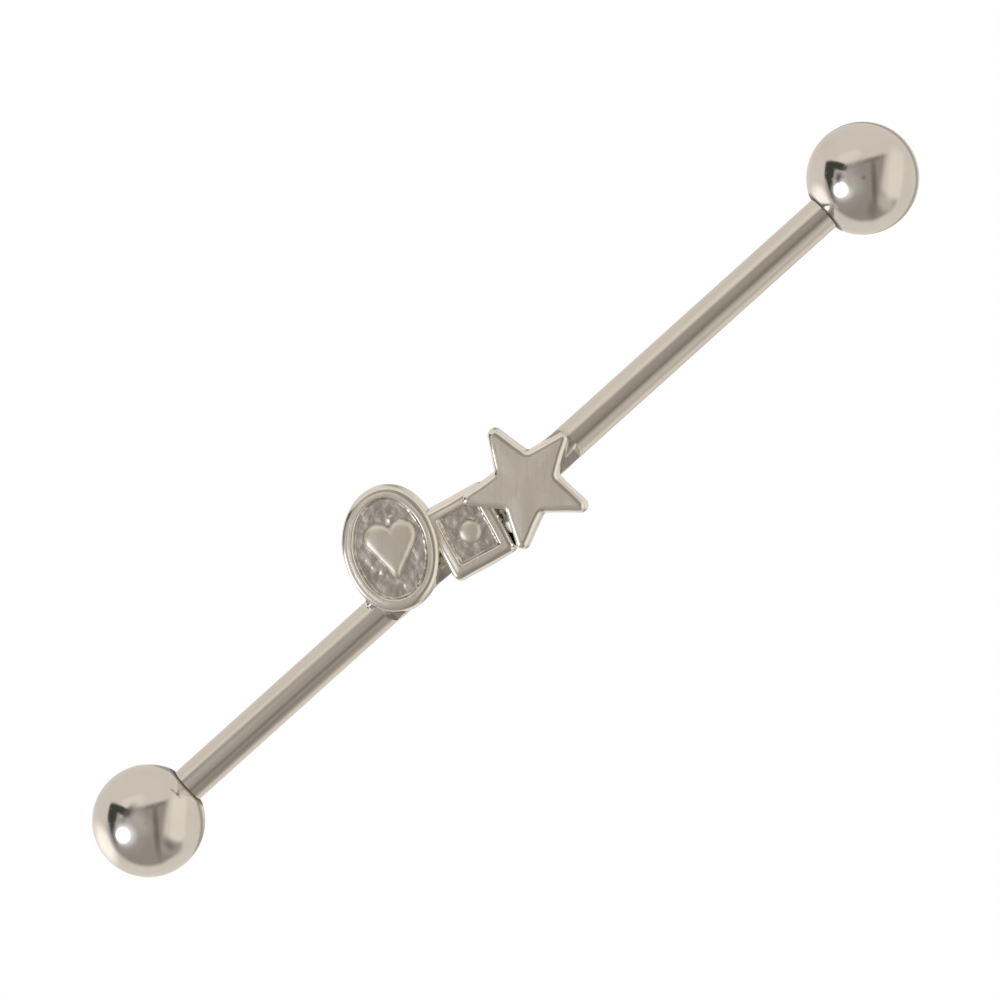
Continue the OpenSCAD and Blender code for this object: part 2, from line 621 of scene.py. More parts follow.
@dataclass(frozen=True, kw_only=True)
class SolderMetal(Finish):
    """Silver solder, smooth where it ran and dull where it set last."""

    name: str = "silver_solder"
    colour: Colour = (0.78, 0.75, 0.69)
    rough: float = 0.16

    def dress(self, graph: Graph) -> dict[str, Any]:
        """Adds flow ripples and a dull bloom.

        Args:
            graph: The material's graph.

        Returns:
            What goes into the shader's sockets, by name.
        """
        place = graph.place()
        flow = graph.speckle(place, 1.3, 1.0)
        bloom = graph.speckle(place, 1.6, 2.0).step(0.45, 0.75)
        return {
            "Base Color": graph.blend(bloom, self.colour, self.tinted(0.93)),
            "Roughness": flow * 0.1 + bloom * 0.06 + self.rough,
            "Normal": graph.bump(flow, 0.006),
        }


@dataclass(frozen=True)
class Thread:
    """A rolled screw thread that starts behind a shoulder.

    Args:
        crest_d: Its crest diameter.
        depth: From crest to root.
        pitch: From one crest to the next.
        turns: The number of turns.
        root_flat: Flat of the root as a share of the pitch.
        flanks: Both flanks as a share of the pitch.
    """

    crest_d: float = 1.55
    depth: float = 0.19
    pitch: float = 0.35
    turns: int = 7
    root_flat: float = 0.08
    flanks: float = 0.8

    @property
    def root(self) -> float:
        """Root radius."""
        return self.crest_d / 2 - self.depth

    def ridge(self, out: float, angle: float) -> float:
        """Gives the right-hand ridge, from 0 at the root to 1 at the crest."""
        phase = (out / self.pitch - angle / math.tau) % 1.0
        return smooth((1.0 - abs(2.0 * phase - 1.0) - self.root_flat) / self.flanks)


def smooth(share: float) -> float:
    """Rises smoothly from 0 to 1 and stays there on both sides."""
    share = min(1.0, max(0.0, share))
    return share * share * (3.0 - 2.0 * share)


def spread(start: float, end: float, step: float) -> list[float]:
    """Gives even steps from start up to and with end, none larger than step."""
    count = max(1, math.ceil(abs(end - start) / step - 1e-6))
    return [start + (end - start) * i / count for i in range(count + 1)]


def heading(angle: float) -> Vector:
    """Gives the flat unit vector at an angle in radians."""
    return Vector((math.cos(angle), math.sin(angle)))


def turned(side: int, out: float, radius: Callable[[float], float], count: int) -> list[Vector]:
    """Gives a ring of points round the bar.

    Args:
        side: 1 towards the star's ball and -1 towards the oval's.
        out: Distance from the bar's middle.
        radius: The radius at an angle round the outward axis.
        count: The number of points.

    Returns:
        The ring, always starting from v.
    """
    angles = [math.tau * i / count for i in range(count)]
    outward = [a if side > 0 else math.pi / 2 - a for a in angles]
    radii = [radius(a) for a in outward]
    return [Vector((side * out, r * math.cos(a), r * math.sin(a))) for a, r in zip(angles, radii)]


@dataclass(frozen=True)
class Bar:
    """The bar, turned from drawn wire with a thread rolled on each end.

    Args:
        diameter: Its diameter, 14 gauge.
        length: Its bare length between the flats of the balls.
        thread: The thread on each end.
        end_chamfer: Width of the chamfer on each end.
        chamfer_slope: How much the chamfer widens for its length.
        dome: How far the middle of an end face stands proud, as a rolled end does.
        edge: Length just inside the shoulder that keeps its edge sharp.
        step: From ring to ring on the bare bar.
        thread_step: From ring to ring on its screw ends.
        around: Points round the bar.
    """

    diameter: float = 1.6
    length: float = 38.0
    thread: Thread = Thread()
    end_chamfer: float = 0.12
    chamfer_slope: float = 1.2
    dome: float = 0.02
    edge: float = 0.02
    step: float = 0.8
    thread_step: float = 0.024
    around: int = 96

    @property
    def r(self) -> float:
        """Radius."""
        return self.diameter / 2

    @property
    def half(self) -> float:
        """Half of the bare length."""
        return self.length / 2

    @property
    def thread_from(self) -> float:
        """Where the thread starts."""
        return self.half + self.r - self.thread.root

    @property
    def end(self) -> float:
        """Half of the whole length."""
        return self.thread_from + self.thread.turns * self.thread.pitch + self.end_chamfer

    def radius(self, out: float, angle: float) -> float:
        """Gives the radius of the bar.

        Args:
            out: Distance from the bar's middle.
            angle: Angle round the outward axis, in radians.

        Returns:
            The radius.
        """
        if out <= self.half:
            return self.r
        grown = smooth((out - self.thread_from) / self.thread.pitch)
        thread = self.thread.root + self.thread.depth * grown * self.thread.ridge(out, angle)
        shoulder = self.r - (out - self.half)
        tip = self.thread.root - self.end_chamfer + self.chamfer_slope * (self.end - out)
        return min(max(thread, shoulder), tip)

    def build(self, lie: Lie) -> None:
        """Makes the bar from end to end.

        Args:
            lie: How the jewel lies.
        """
        outs = spread(0.0, self.half - self.edge, self.step) + spread(self.half, self.end, self.thread_step)
        places = [(-1, out) for out in reversed(outs)] + [(1, out) for out in outs[1:]]
        rings = [turned(s, out, lambda a, o=out: self.radius(o, a), self.around) for s, out in places]
        skin = Skin([self._tip(-1), *rings, self._tip(1)])
        Host.BAR.take(skin.piece("bar", lie, [DrawnSteel()]))

    def _tip(self, side: int) -> list[Vector]:
        """Gives the middle of an end face."""
        return [Vector((side * (self.end + self.dome), 0.0, 0.0))]


@dataclass(frozen=True)
class EndBall:
    """A ball with a flat, a threaded blind hole and a drill point at its end.

    Args:
        bar: The bar that it screws on.
        diameter: Its diameter.
        flat_d: Diameter of the flat round the hole.
        gap: Gap between the bar and the hole.
        mouth: Width of the chamfer at the hole's mouth.
        rim: Radius of the softened edge of the flat.
        faced_and_shaded_r: Radius out to which the lathe's finish and its painted shade show round the flat.
        groove: Depth of the inner thread.
        lead_in: Length over which it starts behind the mouth.
        run_out: Length over which it ends in front of the hole's end.
        spare: Depth of the hole beyond the bar's end.
        drill: Depth of the drill point as a share of the hole's radius.
        step: Angle from ring to ring on the ball, in radians.
        rim_step: Angle from ring to ring on the softened edge.
        bore_step: From ring to ring in the hole.
        around: Points round the ball.
    """

    bar: Bar
    diameter: float = 5.0
    flat_d: float = 2.0
    gap: float = 0.05
    mouth: float = 0.08
    rim: float = 0.2
    faced_and_shaded_r: float = 1.23
    groove: float = 0.1
    lead_in: float = 0.2
    run_out: float = 0.3
    spare: float = 0.15
    drill: float = 0.6
    step: float = 0.03
    rim_step: float = 0.13
    bore_step: float = 0.027
    around: int = 144

    @property
    def r(self) -> float:
        """Radius."""
        return self.diameter / 2

    @property
    def flat(self) -> float:
        """Distance from the ball's centre to its flat."""
        return math.sqrt(self.r**2 - (self.flat_d / 2) ** 2)

    @property
    def hole_r(self) -> float:
        """Radius of the hole."""
        return self.bar.r + self.gap

    @property
    def hole_depth(self) -> float:
        """Depth of the hole."""
        return self.bar.end + self.spare - self.bar.half

    def outside(self) -> list[Point]:
        """Gives the ball's profile.

        Returns:
            Distance from the bar's middle and radius, from the outer pole to the edge of the mouth.
        """
        centre = self.bar.half + self.flat
        inner = self.r - self.rim
        rim_r = math.sqrt(inner**2 - (self.flat - self.rim) ** 2)
        last = math.pi - math.asin(rim_r / inner)
        angles = spread(0.0, last, self.step)
        profile = [(centre + self.r * math.cos(a), self.r * math.sin(a)) for a in angles]
        for a in spread(last, math.pi, self.rim_step)[1:]:
            profile.append((self.bar.half + self.rim * (1.0 + math.cos(a)), rim_r + self.rim * math.sin(a)))
        return [*profile, (self.bar.half, self.hole_r + self.mouth)]

    def bore(self, depth: float, out: float, angle: float) -> float:
        """Gives the radius of the hole at a depth under the flat, with its thread cut into the wall."""
        cut = smooth((depth - self.mouth) / self.lead_in) * smooth((self.hole_depth - depth) / self.run_out)
        return self.hole_r + self.groove * cut * self.bar.thread.ridge(out, angle)

    def build(self, name: str, host: Host, side: int, lie: Lie) -> None:
        """Makes one ball.

        Args:
            name: The name of the piece.
            host: Its body, solid and slot.
            side: 1 for the star's ball and -1 for the oval's.
            lie: How the jewel lies.
        """
        profile = self.outside()[1:]
        outside = [turned(side, out, lambda a, r=r: r, self.around) for out, r in profile]
        depths = spread(self.mouth, self.hole_depth, self.bore_step)
        inside = [self._bore_ring(side, depth) for depth in depths]
        pole = [Vector((side * (self.bar.half + self.flat + self.r), 0.0, 0.0))]
        bottom = [Vector((side * (self.bar.half + self.hole_depth + self.drill * self.hole_r), 0.0, 0.0))]
        # Rings near the flat inside that radius, and the whole hole, get the faced steel with its painted
        # shade.
        kinds = [int(out < self.bar.half + self.r / 2 and r < self.faced_and_shaded_r) for out, r in profile]
        skin = Skin([pole, *outside, *inside, bottom], [*kinds, *[1] * (len(inside) + 1)])
        host.take(skin.piece(name, lie, [MirrorSteel(), FacedSteelWithPaintedShade(lie=lie)]))

    def _bore_ring(self, side: int, depth: float) -> list[Vector]:
        """Gives one ring of the hole's wall."""
        out = self.bar.half + depth
        return turned(side, out, lambda a: self.bore(depth, out, a), self.around)


@dataclass(frozen=True)
class Seat:
    """Where a motif sits on the bar, seen from the front.

    Args:
        along: Its middle along the bar.
        across: Its middle across the bar.
        turn: Its turn against the bar.
    """

    along: float
    across: float
    turn: float

    def at(self, point: Point, height: float) -> Vector:
        """Gives a point of the motif.

        Args:
            point: Its place in the motif.
            height: Its height over the bar's axis.

        Returns:
            The point in the front view.
        """
        turn = math.radians(self.turn)
        x = point[0] * math.cos(turn) - point[1] * math.sin(turn)
        y = point[0] * math.sin(turn) + point[1] * math.cos(turn)
        return Vector((self.along + x, self.across + y, height))

    def middle(self, height: float) -> list[Vector]:
        """Gives the motif's middle at a height, as a ring of one point."""
        return [self.at((0.0, 0.0), height)]


class Outline(ABC):
    """The edge of a motif."""

    @abstractmethod
    def ring(self, inset: float) -> list[Point]:
        """Gives the edge moved inwards, counter-clockwise, always with the same number of points."""


@dataclass(frozen=True)
class OvalOutline(Outline):
    """An oval.

    Args:
        width: Its width.
        height: Its height.
        count: Points round it.
    """

    width: float
    height: float
    count: int = 192

    def ring(self, inset: float) -> list[Point]:
        """Moves each point along its own normal.

        Args:
            inset: How far the edge moves inwards.

        Returns:
            The points, counter-clockwise.
        """
        a, b = self.width / 2, self.height / 2
        found = []
        for i in range(self.count):
            c, s = math.cos(math.tau * i / self.count), math.sin(math.tau * i / self.count)
            long = math.hypot(b * c, a * s)
            found.append((a * c - inset * b * c / long, b * s - inset * a * s / long))
        return found


def rounded(corners: Sequence[Point], radii: Sequence[float], arc: int, straight: int) -> list[Point]:
    """Rounds the corners of a polygon.

    Args:
        corners: Its corners, counter-clockwise.
        radii: The radius at each corner.
        arc: Points on each corner's arc.
        straight: Points on each straight edge between two arcs.

    Returns:
        The rounded outline.
    """
    arcs = []
    for i, radius in enumerate(radii):
        before, here, after = (Vector(corners[(i + k) % len(corners)]) for k in (-1, 0, 1))
        back, on = (before - here).normalized(), (after - here).normalized()
        half = back.angle(on) / 2
        bend = 1.0 if (here - before).cross(after - here) > 0 else -1.0
        centre = here + (back + on).normalized() * (radius / math.sin(half))
        start = centre - here - back * (radius / math.tan(half))
        first = math.atan2(-start.y, -start.x)
        sweep = bend * (math.pi - 2 * half)
        turns = [first + sweep * k / (arc - 1) for k in range(arc)]
        arcs.append([centre + radius * heading(t) for t in turns])
    found = []
    for one, two in zip(arcs, arcs[1:] + arcs[:1]):
        found += one
        found += [one[-1].lerp(two[0], k / (straight + 1)) for k in range(1, straight + 1)]
    return [(p.x, p.y) for p in found]


@dataclass(frozen=True)
class SquareOutline(Outline):
    """A square with rounded corners.

    Args:
        width: Its width.
        height: Its height.
        corner: Radius of its corners.
        least: Smallest radius of the corners of an inner edge.
        arc: Points on each corner.
        straight: Points on each side.
    """

    width: float
    height: float
    corner: float
    least: float = 0.12
    arc: int = 12
    straight: int = 36

    def ring(self, inset: float) -> list[Point]:
        """Shrinks the square and its corners' radii.

        Args:
            inset: How far the edge moves inwards.

        Returns:
            The points, counter-clockwise.
        """
        x, y = self.width / 2 - inset, self.height / 2 - inset
        corners = [(-x, -y), (x, -y), (x, y), (-x, y)]
        return rounded(corners, [max(self.corner - inset, self.least)] * 4, self.arc, self.straight)


@dataclass(frozen=True)
class StarOutline(Outline):
    """A star with rounded points.

    Args:
        reach: Distance from its centre to the ends of its points.
        inner: Distance from its centre to the corners between the points.
        point: Radius of the rounded points.
        notch: Radius in the corners between the points.
        least: Smallest radius of the points of an inner edge.
        points: The number of points.
        arc: Points of the mesh on each corner.
        straight: Points of the mesh on each edge.
    """

    reach: float
    inner: float
    point: float
    notch: float = 0.16
    least: float = 0.05
    points: int = 5
    arc: int = 12
    straight: int = 10

    def ring(self, inset: float) -> list[Point]:
        """Shrinks the star: all its edges are equally far from its centre.

        Args:
            inset: How far the edge moves inwards.

        Returns:
            The points, counter-clockwise.
        """
        step = math.pi / self.points
        tip, notch = self.reach - self.point, self.inner - self.point
        edge = Vector((tip - notch * math.cos(step), -notch * math.sin(step)))
        far = tip * abs(edge.y) / edge.length
        size = (far + self.point - inset) / far
        corners, radii = [], []
        for i in range(2 * self.points):
            r = (notch if i % 2 else tip) * size
            corners.append((r * math.cos(i * step), r * math.sin(i * step)))
            radii.append(self.notch + inset if i % 2 else max(self.point - inset, self.least))
        return rounded(corners, radii, self.arc, self.straight)


@dataclass(frozen=True)
class HeartOutline(Outline):
    """A heart of two round lobes and a rounded tip.

    Args:
        lobe: Radius of each lobe.
        offset: Distance of a lobe's centre from the middle line.
        drop: Distance from the line of the lobes down to the middle of the tip.
        tip: Radius of the tip.
        rise: Height of the line of the lobes over the oval's middle.
        least: Smallest radius of the tip of an inner edge.
        step: Angle from point to point on the lobes, in radians.
        tip_step: Angle from point to point on the tip.
        straight: Steps on each flank.
    """

    lobe: float = 0.66
    offset: float = 0.54
    drop: float = 1.75
    tip: float = 0.16
    rise: float = 0.55
    least: float = 0.02
    step: float = 0.06
    tip_step: float = 0.12
    straight: int = 16

    def ring(self, inset: float) -> list[Point]:
        """Shrinks the lobes and the tip.

        Args:
            inset: How far the edge moves inwards.

        Returns:
            The points, counter-clockwise.
        """
        lobe, tip = self.lobe - inset, max(self.tip - inset, self.least)
        top = Vector((self.offset, self.rise))
        low = Vector((0.0, self.rise - self.drop))
        slope = math.atan2(top.y - low.y, top.x - low.x)
        side = slope - math.acos((self.tip - self.lobe) / (top - low).length)
        cleft = math.acos(-self.offset / lobe)
        half = [top + lobe * heading(a) for a in spread(side, cleft, self.step)]
        low_arc = [low + tip * heading(a) for a in spread(-math.pi / 2, side, self.tip_step)]
        flank = [low_arc[-1].lerp(half[0], k / self.straight) for k in range(1, self.straight)]
        right = low_arc + flank + half
        return [(p.x, p.y) for p in right] + [(-p.x, p.y) for p in reversed(right[1:-1])]


@dataclass(frozen=True)
class Bend:
    """A rounded step from one place of a plate's section to another.

    Args:
        inset: The inset of its end.
        height: The height of its end.
        upright: Whether it starts upright and ends level, and not the other way round.
        steps: The number of steps.
    """

    inset: float
    height: float
    upright: bool
    steps: int = 8

    def points(self, start: Point) -> list[Point]:
        """Gives the bend's points.

        Args:
            start: Inset and height of its start.

        Returns:
            Inset and height of each point after the start.
        """
        found = []
        for k in range(1, self.steps + 1):
            c, s = math.cos(math.pi / 2 * k / self.steps), math.sin(math.pi / 2 * k / self.steps)
            level, up = (1 - c, s) if self.upright else (s, 1 - c)
            inset = start[0] + (self.inset - start[0]) * level
            found.append((inset, start[1] + (self.height - start[1]) * up))
        return found


class Part(IntEnum):
    """The parts of a plate, in the order of its finishes."""

    FACE = 0
    FIELD = 1
    BACK = 2
    EDGE = 3


@dataclass(frozen=True)
class CastPlate:
    """A flat casting with rolled edges and, inside a border, a sunken field.

    Args:
        name: The name of the piece.
        outline: Its edge.
        seat: Its place on the bar.
        back: Height of its back over the bar's axis.
        face: Height of its face.
        border: Width of its border, or 0 where the whole face is raised.
        field_depth: Depth of the sunken field.
        edge_round: Radius of its edges in the solid.
        draft: How far the sides lean in, so that the casting left its mould.
        lean: How far the face lies over towards the lower left, along and across the bar.
        roll: Width of the rolled edge of the face.
        roll_height: Height of the rolled edge.
        back_round: Radius of the edge of the back.
        lip: Radius of the inner edge of the border.
        lip_edge: Width of that edge that is buffed.
        wall: How far the field's wall slants inwards.
        foot: Distance from the border at which the wall's rounded foot ends.
        foot_height: Height of that foot.
        seam: Height up to which the finish of the back or the field reaches.
        crown: How far the face falls towards its edge.
        uneven: Size of the unevenness that hand polishing leaves.
        waves: Its waves to the millimetre.
        lumps: Size of the field's lumps.
        lump_waves: Their waves to the millimetre.
        field_rings: Rings on the field.
        face_rings: Rings on a face that is raised as a whole.
    """

    name: str
    outline: Outline
    seat: Seat
    back: float
    face: float
    border: float = 0.0
    field_depth: float = 0.32
    edge_round: float = 0.2
    draft: float = 0.08
    lean: Point = (-0.1, 0.03)
    roll: float = 0.26
    roll_height: float = 0.24
    back_round: float = 0.16
    lip: float = 0.08
    lip_edge: float = 0.07
    wall: float = 0.03
    foot: float = 0.14
    foot_height: float = 0.1
    seam: float = 0.1
    crown: float = 0.05
    uneven: float = 0.03
    waves: float = 0.9
    lumps: float = 0.035
    lump_waves: float = 3.5
    field_rings: int = 26
    face_rings: int = 20

    @property
    def brim(self) -> float:
        """Inset at which the face begins."""
        return self.draft + self.roll

    @property
    def floor(self) -> float:
        """Height of the sunken field."""
        return self.face - self.field_depth

    def section(self) -> list[Point]:
        """Gives the plate's section.

        Returns:
            Inset and height from the edge of the back up to the face.
        """
        low = (self.back_round, self.back)
        outer = Bend(0.0, self.back + self.back_round, False).points(low)
        shoulder = (self.draft, self.face - self.roll_height)
        edge = Bend(self.brim, self.face - self.crown, True, 12).points(shoulder)
        return [low, *outer, (self.draft / 2, (self.back + self.face) / 2), shoulder, *edge]

    def rim(self) -> list[Point]:
        """Gives the section of the border.

        Returns:
            Inset and height over the crowned border and down to the field.
        """
        start, end = self.brim, self.border - self.lip
        shares = [k / 6 for k in range(1, 7)]
        top = [(start + (end - start) * t, self.face - self.crown * (1 - t) ** 2) for t in shares]
        lip = Bend(self.border, self.face - self.lip, False, 6).points(top[-1])
        low = (self.border + self.wall, self.floor + self.foot_height)
        return [*top, *lip, low, *Bend(self.border + self.foot, self.floor, True, 6).points(low)]

    def build(self, lie: Lie, finishes: Sequence[Finish]) -> None:
        """Makes the plate.

        Args:
            lie: How the jewel lies.
            finishes: The finishes of its face, its field, its back and its edges.
        """
        section = self.section()
        rings = [self.seat.middle(self.back)]
        rings += [self._ring(section[0][0], t, self.back) for t in (0.25, 0.5, 0.75)]
        parts = [Part.BACK] * 3
        for inset, height in section:
            rings.append(self._ring(inset, 1.0, height))
            parts.append(Part.BACK if height < self.back + self.seam else Part.EDGE)
        if self.border:
            for inset, height in self.rim():
                rings.append(self._ring(inset, 1.0, height))
                raised = Part.EDGE if inset > self.border - self.lip_edge else Part.FACE
                parts.append(Part.FIELD if height < self.floor + self.seam else raised)
            for k in range(self.field_rings - 1, 0, -1):
                rings.append(self._field_ring(self.border + self.foot, k / self.field_rings))
                parts.append(Part.FIELD)
            rings.append(self.seat.middle(self.floor))
        else:
            for share in (k / self.face_rings for k in range(self.face_rings - 1, 0, -1)):
                rings.append(self._ring(self.brim, share, self.face - self.crown * share**2))
                parts.append(Part.FACE)
            rings.append(self.seat.middle(self.face))
        skin = Skin(rings, [*parts, parts[-1]])
        skin.points = [self._leant(p) + self.uneven * noise.noise_vector(p * self.waves) for p in skin.points]
        Host.BAR.take(skin.piece(self.name, lie, finishes))

    def _leant(self, point: Vector) -> Vector:
        """Moves a point sideways by its height over the back."""
        rise = (point.z - self.back) / (self.face - self.back)
        return point + rise * Vector((*self.lean, 0.0))

    def _ring(self, inset: float, size: float, height: float) -> list[Vector]:
        """Gives the edge at an inset, drawn towards its middle by a size, at a height."""
        return [self.seat.at((size * x, size * y), height) for x, y in self.outline.ring(inset)]

    def _field_ring(self, inset: float, size: float) -> list[Vector]:
        """Gives a ring of the field, which the mould left lumpy.

        Args:
            inset: Inset of the field's edge.
            size: How far the ring is drawn towards the middle.

        Returns:
            The ring.
        """
        ring = self._ring(inset, size, self.floor)
        lumps = self.lumps * smooth(4 * (1 - size))
        return [p + Vector((0.0, 0.0, lumps * noise.noise(p * self.lump_waves))) for p in ring]


@dataclass(frozen=True)
class Puff:
    """A raised motif with a cushioned top that stands in a sunken field.

    Args:
        name: The name of the piece.
        outline: Its edge.
        seat: Its place on the bar.
        foot: Height at which its sides start, under the field.
        top: Height of its middle.
        fullness: How upright its sides are.
        uneven: Size of the unevenness that hand polishing leaves.
        waves: Its waves to the millimetre.
        count: The number of rings.
    """

    name: str
    outline: Outline
    seat: Seat
    foot: float
    top: float
    fullness: float = 6.0
    uneven: float = 0.01
    waves: float = 1.1
    count: int = 28

    def build(self, lie: Lie, finishes: Sequence[Finish]) -> None:
        """Makes the motif.

        Args:
            lie: How the jewel lies.
            finishes: The finish of its top.
        """
        edge = self.outline.ring(0.0)
        sizes = [math.sin(math.pi / 2 * k / self.count) for k in range(self.count, 0, -1)]
        rings = [self.seat.middle(self.foot)]
        rings += [[self.seat.at((t * x, t * y), self._height(t)) for x, y in edge] for t in sizes]
        rings.append(self.seat.middle(self.top))
        skin = Skin(rings)
        skin.points = [p + self.uneven * noise.noise_vector(p * self.waves) for p in skin.points]
        Host.BAR.take(skin.piece(self.name, lie, finishes))

    def _height(self, size: float) -> float:
        """Gives the height of the ring that is drawn to a size."""
        return self.foot + (self.top - self.foot) * math.sqrt(max(0.0, 1.0 - size**self.fullness))


@dataclass(frozen=True)
class Solder:
    """The solder that joins the charm to the bar: a skin on the bar, a bed under the plates and a bead.

    Args:
        bar_r: Radius of the bar.
        start: Where the wetted stretch starts along the bar.
        end: Where it ends.
        skin: Its thickness on the bar.
        dip: How far its dry stretches lie under the bar's surface.
        width: Width of the bed under the plates.
        back: Height of the plates' backs over the bar's axis.
        bed_inset: How far the bed's ends lie inside the wetted stretch.
        bed_lead: Length over which the bed grows full at its ends.
        bed_end: Height of the bed's end points over the bar's axis.
        bed_step: From ring to ring along the bed.
        flare: How much the fillet widens on each side up to the plates.
        fall: Height of the fillet under the plates' backs.
        bite: How far the bed's sides reach into the plates.
        crest: How far its middle does.
        keel: Height of its underside, which lies inside the bar.
        thinning: Length over which the skin thins out towards its ends.
        step: From ring to ring along the bar.
        around: Points round the bar.
        bead_d: Diameter of the bead beside the oval.
        bead_along: Place of the bead along the bar.
        bead_slump: Size of its unevenness as a share of its radius.
        bead_step: Angle from ring to ring on the bead, in radians.
        bead_around: Points round the bead.
    """

    bar_r: float = 0.8
    start: float = -7.9
    end: float = 4.5
    skin: float = 0.05
    dip: float = 0.03
    width: float = 1.3
    back: float = 0.72
    bed_inset: float = 0.45
    bed_lead: float = 0.35
    bed_end: float = 0.55
    bed_step: float = 0.08
    flare: float = 0.12
    fall: float = 0.3
    bite: float = 0.04
    crest: float = 0.06
    keel: float = 0.4
    thinning: float = 1.2
    step: float = 0.07
    around: int = 72
    bead_d: float = 0.6
    bead_along: float = -7.45
    bead_slump: float = 0.12
    bead_step: float = 0.12
    bead_around: int = 40

    def build(self, lie: Lie) -> None:
        """Makes the skin, the bed and the bead.

        Args:
            lie: How the jewel lies.
        """
        parts = {"solder_skin": self._skin(), "solder_bed": self._bed(), "solder_bead": self._bead()}
        for name, rings in parts.items():
            Host.BAR.take(Skin(rings).piece(name, lie, [SolderMetal()]))

    def _skin(self) -> list[list[Vector]]:
        """Gives the skin: thick on the charm's side, with tongues that run out round the bar.

        Returns:
            Its rings from end to end.
        """
        rings = [[Vector((self.start, 0.0, 0.0))]]
        for u in spread(self.start, self.end, self.step):
            rings.append([self._skin_point(u, math.tau * k / self.around) for k in range(self.around)])
        return [*rings, [Vector((self.end, 0.0, 0.0))]]

    def _skin_point(self, u: float, angle: float) -> Vector:
        """Gives a point of the skin, which dips into the bar where there is no solder.

        Args:
            u: Its place along the bar.
            angle: Its angle round the bar, in radians.

        Returns:
            The point.
        """
        v, w = math.cos(angle), math.sin(angle)
        ends = smooth((u - self.start) / self.thinning) * smooth((self.end - u) / self.thinning)
        tongue = w + 0.2 + 0.5 * noise.noise(Vector((u * 0.9, v * 1.2, w * 1.2)))
        wet = ends * smooth(tongue / 0.5)
        full = 0.9 + 0.2 * noise.noise(Vector((u * 1.2, v, w)))
        r = self.bar_r - self.dip + (self.skin + self.dip) * min(1.0, wet * full)
        return Vector((u, r * v, r * w))

    def _bed(self) -> list[list[Vector]]:
        """Gives the bed: a hollow fillet from the bar's flanks up to the plates' backs.

        Returns:
            Its rings from end to end.
        """
        start, end = self.start + self.bed_inset, self.end - self.bed_inset
        rings = [[Vector((start, 0.0, self.bed_end))]]
        for u in spread(start, end, self.bed_step):
            near, far = (u - start) / self.bed_lead, (end - u) / self.bed_lead
            rings.append(self._bed_ring(u, math.sqrt(smooth(near + 0.05) * smooth(far + 0.05))))
        return [*rings, [Vector((end, 0.0, self.bed_end))]]

    def _bed_ring(self, u: float, full: float) -> list[Vector]:
        """Gives one section of the bed, seen along the bar.

        Args:
            u: Its place along the bar.
            full: How full the bed is there, up to 1.

        Returns:
            The ring.
        """
        half = self.width / 2 * full * (1.0 + 0.16 * noise.noise(Vector((u * 1.1, 4.0, 0.0))))
        top, low = self.back + self.bite, self.back - self.fall * full
        edge = (half + self.flare * full, top)
        right = [Vector((u, v, w)) for v, w in (edge, *Bend(half * 0.86, low, False, 6).points(edge))]
        left = [Vector((u, -p.y, p.z)) for p in reversed(right)]
        return [*right, Vector((u, 0.0, self.keel)), *left, Vector((u, 0.0, self.back + self.crest))]

    def _bead(self) -> list[list[Vector]]:
        """Gives the bead, slumped on the bar's flank.

        Returns:
            Its rings from end to end.
        """
        r = self.bead_d / 2
        flank = self.bar_r * math.sqrt(0.5)
        centre = Vector((self.bead_along, flank, flank))
        rings = [[centre + Vector((-r, 0.0, 0.0))]]
        for a in spread(0.0, math.pi, self.bead_step)[1:-1]:
            ring = []
            for k in range(self.bead_around):
                b = math.tau * k / self.bead_around
                p = Vector((-math.cos(a), math.sin(a) * math.cos(b), math.sin(a) * math.sin(b)))
                ring.append(centre + r * (1.0 + self.bead_slump * noise.noise(p * 1.7)) * p)
            rings.append(ring)
        return [*rings, [centre + Vector((r, 0.0, 0.0))]]


@dataclass(frozen=True)
class Charm:
    """The cast charm: an oval with a raised heart, a lower square with a stud, and a star.

    Args:
        oval: The oval plate.
        square: The square plate.
        star: The star.
        sink: How far the heart and the stud reach under the field.
        stud_drop: How far the stud's top lies under its plate's face.
    """

    oval: CastPlate = CastPlate(
        name="oval_plate",
        outline=OvalOutline(width=4.4, height=5.7),
        seat=Seat(along=-5.15, across=1.75, turn=-31.0),
        back=0.72,
        face=2.0,
        border=0.6,
    )
    square: CastPlate = CastPlate(
        name="square_plate",
        outline=SquareOutline(width=3.2, height=3.5, corner=0.35),
        seat=Seat(along=-2.1, across=0.0, turn=-13.0),
        back=0.75,
        face=1.68,
        border=0.62,
    )
    star: CastPlate = CastPlate(
        name="star",
        outline=StarOutline(reach=2.9, inner=1.45, point=0.34),
        seat=Seat(along=1.15, across=-0.1, turn=9.0),
        back=0.72,
        face=2.05,
    )
    sink: float = 0.06
    stud_drop: float = 0.08

    def build(self, lie: Lie) -> None:
        """Makes and dresses the motifs.

        Args:
            lie: How the jewel lies.
        """
        oval, square = self.oval, self.square
        field_steel = GrainySteel(name="field_steel")
        back_steel = GrainySteel(name="back_steel", rough=0.36, grain=3.0, relief=0.015)
        edge_steel = MirrorSteel(name="edge_steel", colour=(0.9, 0.87, 0.81), rough=0.11, smudge=0.12)
        for plate in (oval, square, self.star):
            face_steel = self._polished(plate.name, plate, lie)
            plate.build(lie, [face_steel, field_steel, back_steel, edge_steel])
        heart = Puff("heart", HeartOutline(), oval.seat, oval.floor - self.sink, oval.face)
        round_edge = OvalOutline(width=1.1, height=1.1, count=72)
        stud_top = square.face - self.stud_drop
        stud = Puff("stud", round_edge, square.seat, square.floor - self.sink, stud_top, fullness=3.0)
        heart.build(lie, [self._polished("heart", oval, lie, 0.32)])
        stud.build(lie, [self._polished("stud", square, lie, 0.32)])

    def _polished(self, name: str, plate: CastPlate, lie: Lie, rough: float = CastSteel.rough) -> CastSteel:
        """Gives the finish of a motif's face, with painted shade darkest at the height of its plate's field.
        """
        return CastSteel(name=name + "_steel", lie=lie, low=plate.floor, high=plate.face - 0.1, rough=rough)


